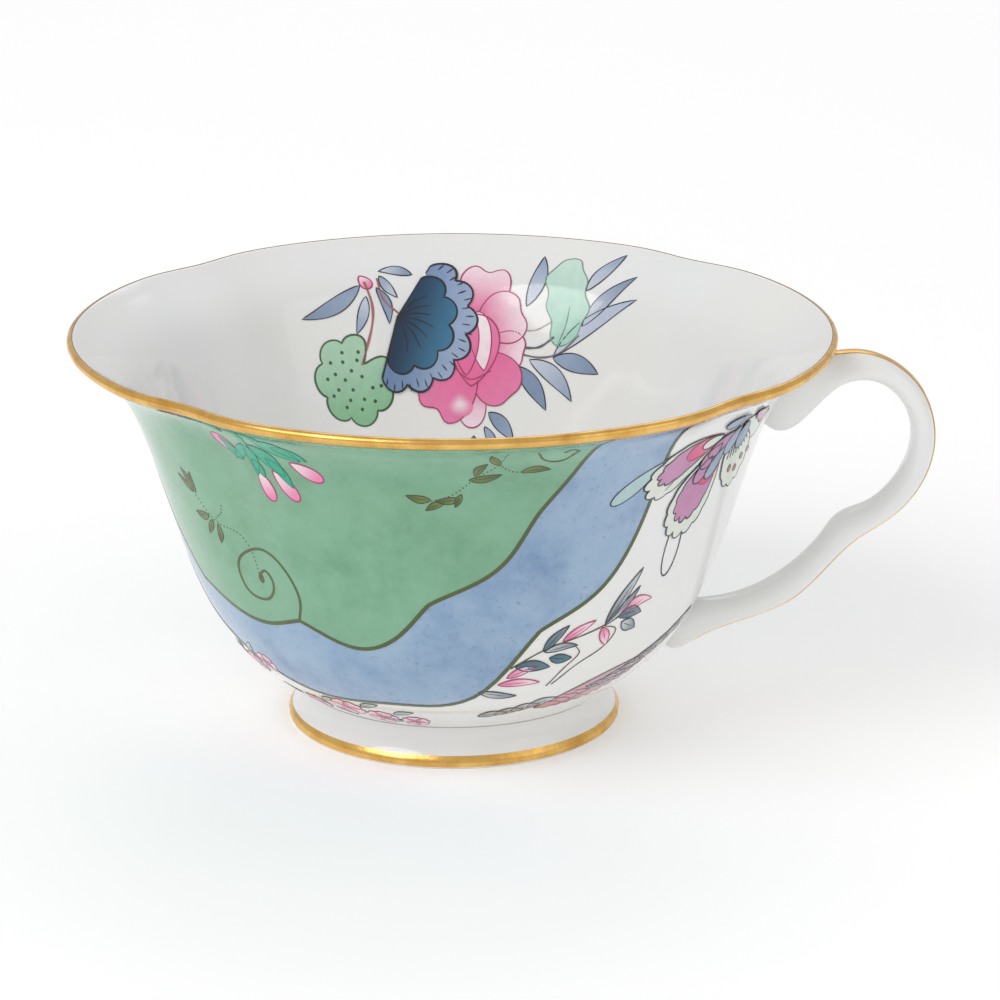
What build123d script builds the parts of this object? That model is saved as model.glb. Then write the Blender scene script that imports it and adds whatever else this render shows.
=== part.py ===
from build123d import *
import os
from math import cos, sin, pi, radians

os.makedirs("parts", exist_ok=True)

# A flared four-lobed teacup of glazed bone china, in millimetres.
# The cup's axis is Z, its foot rests on Z = 0, and the handle points along +X.

# Body
BASE_HEIGHT = 5.7          # underside of the bowl, where the foot ring is luted on
BASE_RADIUS = 22.5
LIP_CENTRE = (53.8, 57.15)  # radius and height of the middle of the rounded lip
LIP_THICKNESS = 1.5
BASE_THICKNESS = 3.6       # wall where it meets the floor
WALL_THINNING = 2.5        # how fast the wall thins from the base to the lip
LIP_SLOPE = 38             # degrees that the wall rises at the lip
CREST_FLAT = 10            # degrees of the lip's round left flat on each side of its crest
WALL_POINTS = [(30.5, 12.0), (36.3, 21.0), (40.9, 34.0), (44.9, 46.0), (48.9, 53.0), (51.3, 55.0)]
FLOOR_HEIGHT = 7.6         # lowest point of the hollow
FLOOR_DISH = 72            # radius of the dished floor
HOLLOW_START = (18.0, 7.2)  # radius and height where the wall's line would reach below the floor

# Lobes: four shallow notches between broad lobes, deepest at the rim and gone at the foot
LOBES = 4
NOTCH_DEPTH = 0.026        # of the rim's radius
NOTCH_SHARPNESS = 14
LOBE_SWELL = 0.0045
NOTCH_FADE = 1.1
LOBE_TURN = 1.7            # degrees from the handle's plane to the middle of its lobe

# Foot ring
FOOT_RADIUS = 24.0
FOOT_INNER_RADIUS = 20.6
FOOT_RECESS_RADIUS = 20.0
FOOT_EDGE = 0.6            # rounding of the resting edge
FOOT_FLARE = 0.45          # hollow of the foot's outer side

# Handle: pairs of points on its outer spine and its inner side, in the plane Y = 0,
# from the upper root to the lower root, each with the half width across the plane
HANDLE_STATIONS = [
    ((47.2, 52.2), (42.2, 43.9), 3.3),
    ((50.8, 53.5), (44.9, 42.9), 3.4),
    ((54.4, 54.1), (47.9, 42.7), 3.4),
    ((57.3, 54.3), (51.0, 45.6), 3.2),
    ((60.2, 53.8), (54.3, 49.0), 3.0),
    ((63.4, 52.2), (59.4, 50.0), 2.9),
    ((66.6, 49.1), (63.5, 47.4), 2.8),
    ((69.1, 41.0), (65.3, 40.9), 2.8),
    ((65.3, 31.8), (62.2, 34.1), 2.8),
    ((61.7, 28.6), (59.0, 31.5), 2.8),
    ((58.5, 26.5), (55.2, 29.8), 2.9),
    ((55.9, 24.2), (52.9, 27.0), 2.8),
    ((52.3, 20.3), (49.3, 23.2), 2.8),
    ((43.8, 14.6), (41.6, 18.4), 2.9),
    ((35.4, 11.1), (34.2, 16.6), 3.2),
    ((32.0, 9.2), (30.8, 15.3), 3.3),
    ((29.0, 8.9), (27.9, 13.9), 3.2),
]
SECTION_SQUARENESS = 2.3   # 2 is a plain oval

# Gilding: bright gold film, drawn thicker than life
GOLD_FILM = 0.12
RIM_GOLD_HEIGHT = 1.8      # below the crest of the lip, on the outside only
RIM_GOLD_START = 0.955     # along the wall, a little below the band's lower edge
FOOT_GOLD = (0.25, 1.9)    # lower and upper edge of the band on the foot
SPINE_GOLD_WIDTH = 1.5
SPINE_GOLD_DEPTH = 0.2

RING_POINTS = 72
WALL_RINGS = 16
GOLD_RINGS = 5
LIP_STEPS = 6
HANDLE_POINTS = 20

lip_radius = LIP_THICKNESS / 2
crest_height = LIP_CENTRE[1] + lip_radius
rim_gold_bottom = crest_height - RIM_GOLD_HEIGHT


def on_lip(angle, radius):
    """Point of a circle round the lip's centre, as (radius, height)."""
    turn = radians(angle)
    return (LIP_CENTRE[0] + radius * cos(turn), LIP_CENTRE[1] + radius * sin(turn))


def lobed_ring(radius, height):
    """Points of the cup's lobed outline at one height."""
    rise = max(0.0, (height - BASE_HEIGHT) / (crest_height - BASE_HEIGHT))
    strength = min(1.0, rise) ** NOTCH_FADE
    points = []
    for step in range(RING_POINTS):
        angle = pi + 2 * pi * step / RING_POINTS
        wave = cos(LOBES * (angle - radians(LOBE_TURN)))
        notch = ((1 - wave) / 2) ** NOTCH_SHARPNESS
        r = radius * (1 + strength * (LOBE_SWELL * (wave - 1) - NOTCH_DEPTH * notch))
        points.append((r * cos(angle), r * sin(angle)))
    return points


def handle_section(half_depth, half_width):
    """Points of the handle's rounded section, its spine towards local +X."""
    power = 2 / SECTION_SQUARENESS
    points = []
    for step in range(HANDLE_POINTS):
        angle = 2 * pi * step / HANDLE_POINTS
        c, s = cos(angle), sin(angle)
        across = half_depth * abs(c) ** power * (1 if c > 0 else -1)
        along = half_width * abs(s) ** power * (1 if s > 0 else -1)
        points.append((across, along))
    return points


def station_plane(spine, inside):
    """Plane of a handle section, centred between its spine and its inner side."""
    dx, dz = spine[0] - inside[0], spine[1] - inside[1]
    middle = ((spine[0] + inside[0]) / 2, 0, (spine[1] + inside[1]) / 2)
    return Plane(origin=middle, x_dir=(dx, 0, dz), z_dir=(-dz, 0, dx))


def station_half_depth(spine, inside):
    return (Vector(*spine) - Vector(*inside)).length / 2


# Outer line of the wall, with radius as X and height as Y
wall_line = Spline(
    (BASE_RADIUS, BASE_HEIGHT),
    *WALL_POINTS,
    on_lip(LIP_SLOPE - 90, lip_radius),
    tangents=[(1.4, 1.0), (cos(radians(LIP_SLOPE)), sin(radians(LIP_SLOPE)))],
)


def wall_rings(inset, steps, start=0.0):
    """Rings up the wall to just short of the lip, set in from its outer line by a depth along it."""
    rings = []
    for step in range(steps):
        t = start + (1 - start) * step / steps
        point, along = wall_line @ t, wall_line % t
        depth = inset(t)
        rings.append((point.X - along.Y * depth, point.Y + along.X * depth))
    return rings


def wall_thickness(t):
    return LIP_THICKNESS + (BASE_THICKNESS - LIP_THICKNESS) * (1 - t) ** WALL_THINNING


def lip_rings(radius, first_angle, last_angle):
    """Rings over a stretch of the rounded lip, both of its ends included."""
    turn = (last_angle - first_angle) / LIP_STEPS
    return [on_lip(first_angle + turn * step, radius) for step in range(LIP_STEPS + 1)]


def lobed_solid(rings):
    """Solid lofted through lobed rings, each a (radius, height), with flat ends."""
    with BuildPart() as solid:
        for ring_radius, ring_height in rings:
            with BuildSketch(Plane.XY.offset(ring_height)):
                with BuildLine():
                    Spline(*lobed_ring(ring_radius, ring_height), periodic=True)
                make_face()
        loft()
    return solid.part


# The bowl is its outer form less its hollow, which meet at a narrow flat on the lip's crest
outer_slope = LIP_SLOPE - 90
inner_slope = LIP_SLOPE + 90
outer_rings = wall_rings(lambda t: 0.0, WALL_RINGS)
outer_rings += lip_rings(lip_radius, outer_slope, 90 - CREST_FLAT)
outer_form = lobed_solid(outer_rings)

hollow_rings = wall_rings(wall_thickness, WALL_RINGS)
hollow_rings += lip_rings(lip_radius, inner_slope, 90 + CREST_FLAT)

with BuildPart() as hollow:
    add(lobed_solid([HOLLOW_START] + hollow_rings))
    extrude(hollow.faces().sort_by(Axis.Z)[-1], amount=LIP_THICKNESS)
    with Locations((0, 0, FLOOR_HEIGHT + FLOOR_DISH)):
        Sphere(FLOOR_DISH, mode=Mode.INTERSECT)

with BuildPart() as bowl_body:
    add(outer_form)
    add(hollow.part, mode=Mode.SUBTRACT)

# Everything under the rim's gold: the wall inset by the film, and the lip inside its crest
gold_base = wall_rings(lambda t: GOLD_FILM, GOLD_RINGS, RIM_GOLD_START)
gold_base += lip_rings(lip_radius - GOLD_FILM, outer_slope, 90 - CREST_FLAT)
gold_step = gold_base[-1][1]

with BuildPart() as rim_gold_zone:
    with BuildSketch(Plane.XY.offset(rim_gold_bottom)):
        Circle(LIP_CENTRE[0] + 2 * LIP_THICKNESS)
    extrude(amount=RIM_GOLD_HEIGHT + LIP_THICKNESS / 3)
    add(lobed_solid(gold_base), mode=Mode.SUBTRACT)
    with BuildSketch(Plane.XY.offset(gold_step)):
        with BuildLine():
            Spline(*lobed_ring(LIP_CENTRE[0], gold_step), periodic=True)
        make_face()
    extrude(amount=LIP_THICKNESS, mode=Mode.SUBTRACT)

with BuildPart() as bowl:
    add(bowl_body.part)
    add(rim_gold_zone.part, mode=Mode.SUBTRACT)
bowl.part.label = "bowl"
export_step(bowl.part, "parts/bowl.step")

with BuildPart() as rim_gilding:
    add(bowl_body.part)
    add(rim_gold_zone.part, mode=Mode.INTERSECT)
rim_gilding.part.label = "rim_gilding"
export_step(rim_gilding.part, "parts/rim_gilding.step")

# Foot ring: a short flared drum, open underneath, with a rounded resting edge
with BuildSketch(Plane.XZ) as foot_profile:
    with BuildLine():
        SagittaArc((BASE_RADIUS, BASE_HEIGHT), (FOOT_RADIUS, 2 * FOOT_EDGE), FOOT_FLARE)
        Polyline(
            (FOOT_RADIUS, 2 * FOOT_EDGE),
            (FOOT_RADIUS, 0),
            (FOOT_INNER_RADIUS, 0),
            (FOOT_RECESS_RADIUS, BASE_HEIGHT),
            (BASE_RADIUS, BASE_HEIGHT),
        )
    make_face()
    fillet(foot_profile.vertices().group_by(Axis.Y)[0], FOOT_EDGE)

with BuildSketch(Plane.XZ) as foot_gold_profile:
    add(foot_profile.sketch)
    offset(foot_profile.sketch, amount=-GOLD_FILM, mode=Mode.SUBTRACT)
    with Locations((FOOT_RADIUS, (FOOT_GOLD[0] + FOOT_GOLD[1]) / 2)):
        Rectangle(BASE_RADIUS - FOOT_INNER_RADIUS, FOOT_GOLD[1] - FOOT_GOLD[0], mode=Mode.INTERSECT)

with BuildPart() as foot_gilding:
    add(foot_gold_profile.sketch)
    revolve(axis=Axis.Z)
foot_gilding.part.label = "foot_gilding"
export_step(foot_gilding.part, "parts/foot_gilding.step")

with BuildPart() as foot_ring:
    add(foot_profile.sketch)
    revolve(axis=Axis.Z)
    add(foot_gilding.part, mode=Mode.SUBTRACT)
foot_ring.part.label = "foot_ring"
export_step(foot_ring.part, "parts/foot_ring.step")


def handle_form(sinking, widening):
    """The handle's form, moved in from its spine and widened across its plane."""
    with BuildPart() as form:
        for spine_point, inner_point, half_width in HANDLE_STATIONS:
            half_depth = station_half_depth(spine_point, inner_point)
            outline = handle_section(half_depth, half_width + widening)
            with BuildSketch(station_plane(spine_point, inner_point)):
                with BuildLine():
                    Spline(*[(x - sinking, y) for x, y in outline], periodic=True)
                make_face()
        loft()
    return form.part


# Handle: one loft through its stations, cut back to the outside of the bowl
with BuildPart() as handle_blank:
    add(handle_form(0, 0))
    add(bowl_body.part, mode=Mode.SUBTRACT)

handle_body = handle_blank.part.solids().sort_by(SortBy.VOLUME)[-1]

# The gold line is let into the spine of the handle, flush with it
with BuildPart() as spine_gold_zone:
    Box(4 * LIP_CENTRE[0], SPINE_GOLD_WIDTH, 4 * LIP_CENTRE[0])
    add(handle_form(SPINE_GOLD_DEPTH, SPINE_GOLD_WIDTH), mode=Mode.SUBTRACT)

with BuildPart() as handle:
    add(handle_body)
    add(spine_gold_zone.part, mode=Mode.SUBTRACT)
handle.part.label = "handle"
export_step(handle.part, "parts/handle.step")

with BuildPart() as spine_gold:
    add(handle_body)
    add(spine_gold_zone.part, mode=Mode.INTERSECT)

with BuildPart() as handle_gilding:
    add(spine_gold.part.solids().sort_by(SortBy.VOLUME)[-1])
handle_gilding.part.label = "handle_gilding"
export_step(handle_gilding.part, "parts/handle_gilding.step")
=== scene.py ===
import math

import bpy
import bmesh
import numpy as np
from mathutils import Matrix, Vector


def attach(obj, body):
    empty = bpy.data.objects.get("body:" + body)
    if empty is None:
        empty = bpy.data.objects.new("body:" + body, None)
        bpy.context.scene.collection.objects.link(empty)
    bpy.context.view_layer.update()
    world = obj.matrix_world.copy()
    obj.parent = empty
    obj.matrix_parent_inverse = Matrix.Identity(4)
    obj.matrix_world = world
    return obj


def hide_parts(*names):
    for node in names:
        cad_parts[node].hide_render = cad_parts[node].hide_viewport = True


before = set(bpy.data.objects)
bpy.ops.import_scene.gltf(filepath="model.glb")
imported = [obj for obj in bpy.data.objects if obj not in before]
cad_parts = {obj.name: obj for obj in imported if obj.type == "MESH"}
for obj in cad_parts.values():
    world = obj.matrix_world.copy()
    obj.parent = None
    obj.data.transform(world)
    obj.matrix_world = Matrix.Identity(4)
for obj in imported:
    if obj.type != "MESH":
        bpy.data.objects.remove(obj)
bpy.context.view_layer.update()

bl_info = {
    "name": "Lobed Teacup",
    "version": (1, 0, 0),
    "blender": (4, 5, 0),
    "location": "View3D > Sidebar > Teacup",
    "description": "Glazed and gilded four-lobed teacup with enamel transfers",
    "category": "Object",
}

MM = 0.001

# The china body, in millimetres, as the frame has it
BASE = (22.5, 5.7)
WALL_POINTS = [(30.5, 12.0), (36.3, 21.0), (40.9, 34.0), (44.9, 46.0), (48.9, 53.0), (51.3, 55.0)]
LIP_CENTRE = (53.8, 57.15)
LIP_THICKNESS = 1.5
CREST = LIP_CENTRE[1] + LIP_THICKNESS / 2
LIP_SLOPE = math.radians(38)
BASE_THICKNESS = 3.6
WALL_THINNING = 2.5
FLOOR_HEIGHT = 7.6
FLOOR_DISH = 72.0
LOBES = 4
NOTCH_DEPTH = 0.026
NOTCH_SHARPNESS = 14
LOBE_SWELL = 0.0045
NOTCH_FADE = 1.1
LOBE_TURN = math.radians(1.7)
FOOT_RADIUS = 24.0
FOOT_EDGE = 0.6
FOOT_RECESS = (20.0, 20.6)
FOOT_FLARE = 0.45
RIM_GOLD_DROP = 1.8
FOOT_GOLD = (0.3, 1.9)
# Spine point and inner point of each handle section, with the half width across it
HANDLE_STATIONS = [
    (47.6, 52.0, 43.3, 44.4, 2.9),
    (50.8, 53.5, 45.2, 42.9, 3.4),
    (54.4, 54.1, 47.9, 42.7, 3.4),
    (57.3, 54.3, 51.0, 45.6, 3.2),
    (60.2, 53.8, 54.3, 49.0, 3.0),
    (63.4, 52.2, 59.4, 50.0, 2.9),
    (66.6, 49.1, 63.5, 47.4, 2.8),
    (68.95, 41.0, 65.3, 40.9, 2.8),
    (65.3, 31.8, 62.2, 34.1, 2.8),
    (61.7, 28.6, 59.0, 31.5, 2.8),
    (58.5, 26.5, 55.2, 29.8, 2.9),
    (55.9, 24.2, 52.9, 27.0, 2.8),
    (48.4, 16.8, 45.3, 20.0, 2.8),
    (39.0, 13.0, 37.8, 17.3, 3.0),
    (34.8, 10.9, 33.8, 16.6, 3.2),
    (31.6, 9.6, 31.4, 15.2, 3.1),
    (29.2, 11.0, 30.4, 13.9, 2.2),
]
SECTION_SQUARENESS = 2.3

# How the painted layers lie: the glaze stands back by SET_BACK so that they end at the frame's own skin
SET_BACK = 0.06
FIRST_LAYER = 0.03
LAYER = 0.014
FILM = 0.05

# The stage, in metres and watts
CAMERA_PLACE = (0, -0.5696, 0.2166)
CAMERA_AIM = (0.0067, 0, 0.0321)
CAMERA_LENS = 150
LIGHT_AIM = (0, 0, 0.03)
LIGHT_SIZE = 0.9
ROOM_LIGHT = 0.64
LIGHTS = [
    ("key_light", (-0.75, -0.7, 1.0), 6.4),
    ("fill_light", (0.9, -0.6, 0.6), 1.0),
    ("back_light", (0.1, 0.9, 0.9), 1.6),
]


def srgb(red, green, blue):
    """Linear colour from the eight-bit values on a colour chart."""
    channels = (red / 255, green / 255, blue / 255)
    return tuple(c / 12.92 if c < 0.04045 else ((c + 0.055) / 1.055) ** 2.4 for c in channels)


# ---------------------------------------------------------------- sizes and colours


def length(name, text, default):
    return bpy.props.FloatProperty(
        name=name, description=text, default=default, unit="LENGTH", subtype="DISTANCE"
    )


def colour(name, text, default):
    return bpy.props.FloatVectorProperty(
        name=name, description=text, default=default, size=3, min=0, max=1, subtype="COLOR"
    )


class CupSizes(bpy.types.PropertyGroup):
    lip: length("Lip", "Thickness of the rounded lip", LIP_THICKNESS * MM)
    ground_line: length("Ground line", "Width of the olive line round the coloured grounds", 0.62 * MM)
    spine_gold: length("Spine gold", "Width of the gold line along the handle", 1.5 * MM)
    dot: length("Dot", "Radius of the dots that make a dotted stem", 0.13 * MM)
    around: bpy.props.IntProperty(name="Segments", description="Segments round the cup", default=288, min=64)
    floor: length("Floor", "Side of the pale floor", 4.0)


class CupColours(bpy.types.PropertyGroup):
    china: colour("China", "Bone china under clear glaze", (0.84, 0.84, 0.825))
    gold: colour("Gold", "Burnished gold", srgb(226, 182, 104))
    green: colour("Green ground", "Sage green ground", srgb(122, 172, 140))
    blue: colour("Blue ground", "Powder blue ground", srgb(146, 174, 202))
    olive: colour("Olive", "Line round the grounds, and the leaves on green", srgb(78, 88, 38))
    ink: colour("Ink", "Outlines", srgb(34, 36, 44))
    pink: colour("Pink", "Full pink of the petals", srgb(238, 128, 174))
    blush: colour("Blush", "Pale tips of the petals", srgb(250, 226, 234))
    rose: colour("Rose", "Outlines of the pink petals", srgb(172, 60, 104))
    slate: colour("Slate", "Blue grey leaves", srgb(152, 170, 196))
    mint: colour("Mint", "Pale green leaves", srgb(184, 220, 196))
    emerald: colour("Emerald", "Calyxes of the buds", srgb(14, 164, 130))
    mauve: colour("Mauve", "Wings", srgb(196, 132, 176))
    teal: colour("Teal", "Dark leaves of the low spray", srgb(72, 122, 132))
    floor: colour("Floor", "Pale floor", (0.98, 0.98, 0.98))


# ---------------------------------------------------------------- lines of the body


def spline(points, first, last, count):
    """Smooth curve through points of any dimension, with its end directions, as an array of samples."""
    p = np.array(points, float)
    t = np.r_[0, np.cumsum(np.linalg.norm(np.diff(p, axis=0), axis=1))]
    h = np.diff(t)
    n = len(p)
    system = np.eye(n)
    right = np.zeros_like(p)
    right[0], right[-1] = first, last
    for i in range(1, n - 1):
        system[i, i - 1 : i + 2] = h[i], 2 * (h[i - 1] + h[i]), h[i - 1]
        right[i] = 3 * (h[i] * (p[i] - p[i - 1]) / h[i - 1] + h[i - 1] * (p[i + 1] - p[i]) / h[i])
    slope = np.linalg.solve(system, right)
    at = np.linspace(0, t[-1], count)
    k = np.clip(np.searchsorted(t, at, side="right") - 1, 0, n - 2)
    x = ((at - t[k]) / h[k])[:, None]
    span = h[k][:, None]
    return (
        (2 * x**3 - 3 * x**2 + 1) * p[k]
        + (x**3 - 2 * x**2 + x) * span * slope[k]
        + (3 * x**2 - 2 * x**3) * p[k + 1]
        + (x**3 - x**2) * span * slope[k + 1]
    )


def left_normals(line):
    """Unit normals to the left of a planar line."""
    along = np.gradient(line, axis=0)
    along /= np.linalg.norm(along, axis=1)[:, None] + 1e-9
    return np.c_[-along[:, 1], along[:, 0]]


def on_lip(angle, radius):
    return (LIP_CENTRE[0] + radius * np.cos(angle), LIP_CENTRE[1] + radius * np.sin(angle))


def wall_lines(lip_thickness):
    """The outer and the inner line of the wall, each with radius and height, from the foot to the lip."""
    lip_direction = (math.cos(LIP_SLOPE), math.sin(LIP_SLOPE))
    radius = lip_thickness / 2
    foot_direction = np.array((1.4, 1.0)) / math.hypot(1.4, 1.0)
    ends = [BASE, *WALL_POINTS, on_lip(LIP_SLOPE - math.pi / 2, radius)]
    middle = spline(ends, foot_direction, lip_direction, 600)
    normal = left_normals(middle)
    outer = middle + normal * SET_BACK
    share = np.linspace(1, 0, len(middle))[:, None]
    depth = lip_thickness + (BASE_THICKNESS - lip_thickness) * share**WALL_THINNING
    inner = middle + normal * depth
    dish = [(r, FLOOR_HEIGHT + FLOOR_DISH - math.sqrt(FLOOR_DISH**2 - r**2)) for r in (0, 8, 15, 21)]
    rising = inner[inner[:, 1] > 14.5][::45]
    tip = inner[-1] - np.array((-lip_direction[1], lip_direction[0])) * SET_BACK
    inner = spline([*dish, *rising[:-1], tip], (1, 0), lip_direction, 700)
    return outer, inner


class Face:
    """One side of the wall, on which transfers are laid."""

    def __init__(self, line, outward):
        self.line = line
        self.normal = left_normals(line) * (-1 if outward else 1)
        self.run = np.r_[0, np.cumsum(np.linalg.norm(np.diff(line, axis=0), axis=1))]
        self.turn = 1 if outward else -1

    def run_at(self, height):
        return np.interp(height, self.line[:, 1], self.run)

    def height_at(self, run):
        return np.interp(run, self.run, self.line[:, 1])

    def radius_at(self, height):
        return np.interp(height, self.line[:, 1], self.line[:, 0])

    def place(self, azimuth, run, lift):
        """Points in metres at these angles and distances along the wall, lifted off it in millimetres."""
        pick = lambda values: np.interp(run, self.run, values)
        height = pick(self.line[:, 1]) + pick(self.normal[:, 1]) * lift
        radius = (pick(self.line[:, 0]) + pick(self.normal[:, 0]) * lift) * lobe(azimuth, height)
        return np.c_[radius * np.cos(azimuth), radius * np.sin(azimuth), height] * MM


def lobe(azimuth, height):
    """How far the four lobes move the wall in at an angle and a height."""
    rise = np.clip((height - BASE[1]) / (CREST - BASE[1]), 0, 1) ** NOTCH_FADE
    wave = np.cos(LOBES * (azimuth - LOBE_TURN))
    return 1 + rise * (LOBE_SWELL * (wave - 1) - NOTCH_DEPTH * ((1 - wave) / 2) ** NOTCH_SHARPNESS)


# ---------------------------------------------------------------- shader maths


class Value:
    """A node's output that can be used in Python expressions."""

    def __init__(self, tree, socket):
        self.tree = tree
        self.socket = socket

    def _maths(self, operation, a, b):
        node = self.tree.nodes.new("ShaderNodeMath")
        node.operation = operation
        for socket, value in zip(node.inputs, (a, b)):
            join(self.tree, socket, value)
        return Value(self.tree, node.outputs[0])

    def __add__(self, other):
        return self._maths("ADD", self, other)

    def __sub__(self, other):
        return self._maths("SUBTRACT", self, other)

    def __rsub__(self, other):
        return self._maths("SUBTRACT", other, self)

    def __mul__(self, other):
        return self._maths("MULTIPLY", self, other)

    __radd__ = __add__
    __rmul__ = __mul__


def join(tree, socket, value):
    if isinstance(value, Value):
        tree.links.new(value.socket, socket)
    elif socket.type == "RGBA" and len(value) == 3:
        socket.default_value = (*value, 1)
    else:
        socket.default_value = value


class Finish:
    """A material built around one Principled shader."""

    def __init__(self, name, **uniform):
        self.material = bpy.data.materials.new(name)
        self.material.use_nodes = True
        self.tree = self.material.node_tree
        self.shader = self.tree.nodes["Principled BSDF"]
        for socket, value in uniform.items():
            join(self.tree, self.shader.inputs[socket.replace("_", " ")], value)
        self.place = self.node("TexCoord", output="Object")

    def node(self, kind, settings=None, output=0, **values):
        made = self.tree.nodes.new("ShaderNode" + kind)
        for name, setting in (settings or {}).items():
            if name == "stops":
                self._stops(made.color_ramp, setting)
            else:
                setattr(made, name, setting)
        for socket, value in values.items():
            join(self.tree, made.inputs[socket.replace("_", " ")], value)
        return Value(self.tree, made.outputs[output])

    def _stops(self, ramp, stops):
        while len(ramp.elements) < len(stops):
            ramp.elements.new(1)
        for element, (at, level) in zip(ramp.elements, stops):
            element.position = at
            element.color = (level, level, level, 1)

    def cloud(self, size, detail=3, roughness=0.5, where=None):
        """Soft noise from 0 to 1 with features of about this size in millimetres."""
        spot = where or self.place
        return self.node("TexNoise", Vector=spot, Scale=1 / (size * MM), Detail=detail, Roughness=roughness)

    def levels(self, value, low, high):
        return self.node("ValToRGB", {"stops": [(low, 0), (high, 1)]}, Fac=value)

    def mix(self, factor, a, b, blend="MIX"):
        made = self.tree.nodes.new("ShaderNodeMix")
        made.data_type = "RGBA"
        made.blend_type = blend
        join(self.tree, made.inputs[0], factor)
        join(self.tree, made.inputs[6], a)
        join(self.tree, made.inputs[7], b)
        return Value(self.tree, made.outputs[2])

    def relief(self, height, distance, strength=1.0):
        bump = self.node("Bump", Height=height, Distance=distance * MM, Strength=strength)
        self.feed(Normal=bump)

    def feed(self, **values):
        for socket, value in values.items():
            join(self.tree, self.shader.inputs[socket.replace("_", " ")], value)
        return self


def tinted(colour, factor):
    return tuple(min(1.0, c * factor) for c in colour)


def glazed_china(colours):
    finish = Finish("glazed_china", IOR=1.5, Coat_Weight=0.35, Coat_Roughness=0.04)
    body = colours.china
    drift = finish.levels(finish.cloud(26, 2), 0.35, 0.65)
    cool, warm = (body[0] * 0.975, body[1] * 0.985, body[2]), (body[0], body[1] * 0.992, body[2] * 0.978)
    base = finish.mix(drift, cool, warm)
    specks = finish.levels(finish.cloud(1.1, 2, 0.4), 0.78, 0.84)
    base = finish.mix(specks * 0.18, base, tinted(body, 0.72))
    finish.feed(Base_Color=base, Roughness=finish.cloud(9, 2) * 0.06 + 0.07)
    finish.relief(finish.cloud(14, 1), 0.05, 0.5)
    return finish.material


def burnished_gold(colours):
    finish = Finish("burnished_gold", IOR=1.45)
    gold = colours.gold
    worn = finish.levels(finish.cloud(4.5, 4, 0.6), 0.38, 0.7)
    tone = finish.mix(worn, tinted(gold, 1.12), (gold[0] * 0.82, gold[1] * 0.7, gold[2] * 0.52))
    brushed = finish.cloud(0.5, 3, 0.6)
    finish.feed(Base_Color=tone, Metallic=1.0 - worn * 0.12, Roughness=brushed * 0.16 + worn * 0.08 + 0.16)
    finish.relief(finish.cloud(1.6, 4, 0.6), 0.05, 0.6)
    return finish.material


def washed_ground(name, colour, dark, light, grain):
    """A ground laid in one wash of enamel, with soft clouds, darker pools and fine specks."""
    finish = Finish(name, IOR=1.5, Coat_Weight=0.3, Coat_Roughness=0.06)
    pools = finish.levels(finish.cloud(11, 5, 0.62), 0.42, 0.68)
    veil = finish.levels(finish.cloud(4.2, 5, 0.68), 0.35, 0.75)
    specks = finish.levels(finish.cloud(0.75, 3, 0.6), 0.6, 0.72)
    tone = finish.mix(pools * 0.85, colour, dark)
    tone = finish.mix(veil * 0.5, tone, light)
    tone = finish.mix(specks * grain, tone, tinted(dark, 0.72))
    finish.feed(Base_Color=tone, Roughness=veil * 0.08 + 0.12)
    finish.relief(finish.cloud(6, 2), 0.03, 0.5)
    return finish.material


def enamel():
    """Hand-coloured enamel: the piece's own painted colour with watercolour pooling."""
    finish = Finish("enamel", IOR=1.5, Coat_Weight=0.3, Coat_Roughness=0.06)
    paint = finish.node("Attribute", {"attribute_name": "enamel"}, output="Color")
    pools = finish.levels(finish.cloud(1.6, 4, 0.65), 0.35, 0.7)
    deep = finish.mix(1.0, paint, (0.8, 0.82, 0.85), "MULTIPLY")
    tone = finish.mix(pools * 0.5, paint, deep)
    finish.feed(Base_Color=tone, Roughness=pools * 0.08 + 0.12)
    finish.relief(finish.cloud(0.6, 2), 0.01, 0.5)
    return finish.material


def pale_floor(colours):
    finish = Finish("pale_floor", Roughness=0.9, Emission_Color=(1, 1, 1), Emission_Strength=0.12)
    drift = finish.cloud(300, 2) * 0.02
    finish.feed(Base_Color=finish.mix(drift, colours.floor, tinted(colours.floor, 0.98)))
    return finish.material


def finish_of(make, *values):
    """The material that a function makes under its own name, made once and shared."""
    return bpy.data.materials.get(make.__name__) or make(*values)


# ---------------------------------------------------------------- modelling


def clear_selection():
    if bpy.context.mode != "OBJECT":
        bpy.ops.object.mode_set(mode="OBJECT")
    bpy.ops.object.select_all(action="DESELECT")


def draw_out(name, rings, joined=False):
    """A skin drawn out ring by ring from a circle, closed at both ends or joined end to end."""
    clear_selection()
    bpy.ops.mesh.primitive_circle_add(vertices=len(rings[0]), radius=MM)
    piece = bpy.context.object
    piece.name = piece.data.name = name
    first = sorted(range(len(rings[0])), key=lambda i: polar(piece.data.vertices[i].co))
    bpy.ops.object.mode_set(mode="EDIT")
    bpy.ops.mesh.select_mode(type="VERT")
    ring = first
    lay_ring(piece, ring, rings[0])
    for points in rings[1:]:
        bpy.ops.mesh.extrude_region_move()
        form = bmesh.from_edit_mesh(piece.data)
        form.verts.ensure_lookup_table()
        form.verts.index_update()
        ring = [next(w.index for w in neighbours(form.verts[i]) if w.select) for i in ring]
        lay_ring(piece, ring, points)
    if joined:
        choose(piece, first + ring)
        bpy.ops.mesh.bridge_edge_loops()
    else:
        bpy.ops.mesh.merge(type="CENTER")
        choose(piece, first)
        bpy.ops.mesh.merge(type="CENTER")
    bpy.ops.mesh.select_all(action="SELECT")
    bpy.ops.mesh.normals_make_consistent(inside=False)
    bpy.ops.object.mode_set(mode="OBJECT")
    bpy.ops.object.shade_smooth_by_angle(angle=math.radians(40))
    return piece


def polar(point):
    return math.atan2(point.y, point.x) % (2 * math.pi)


def neighbours(vert):
    return [edge.other_vert(vert) for edge in vert.link_edges]


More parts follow.
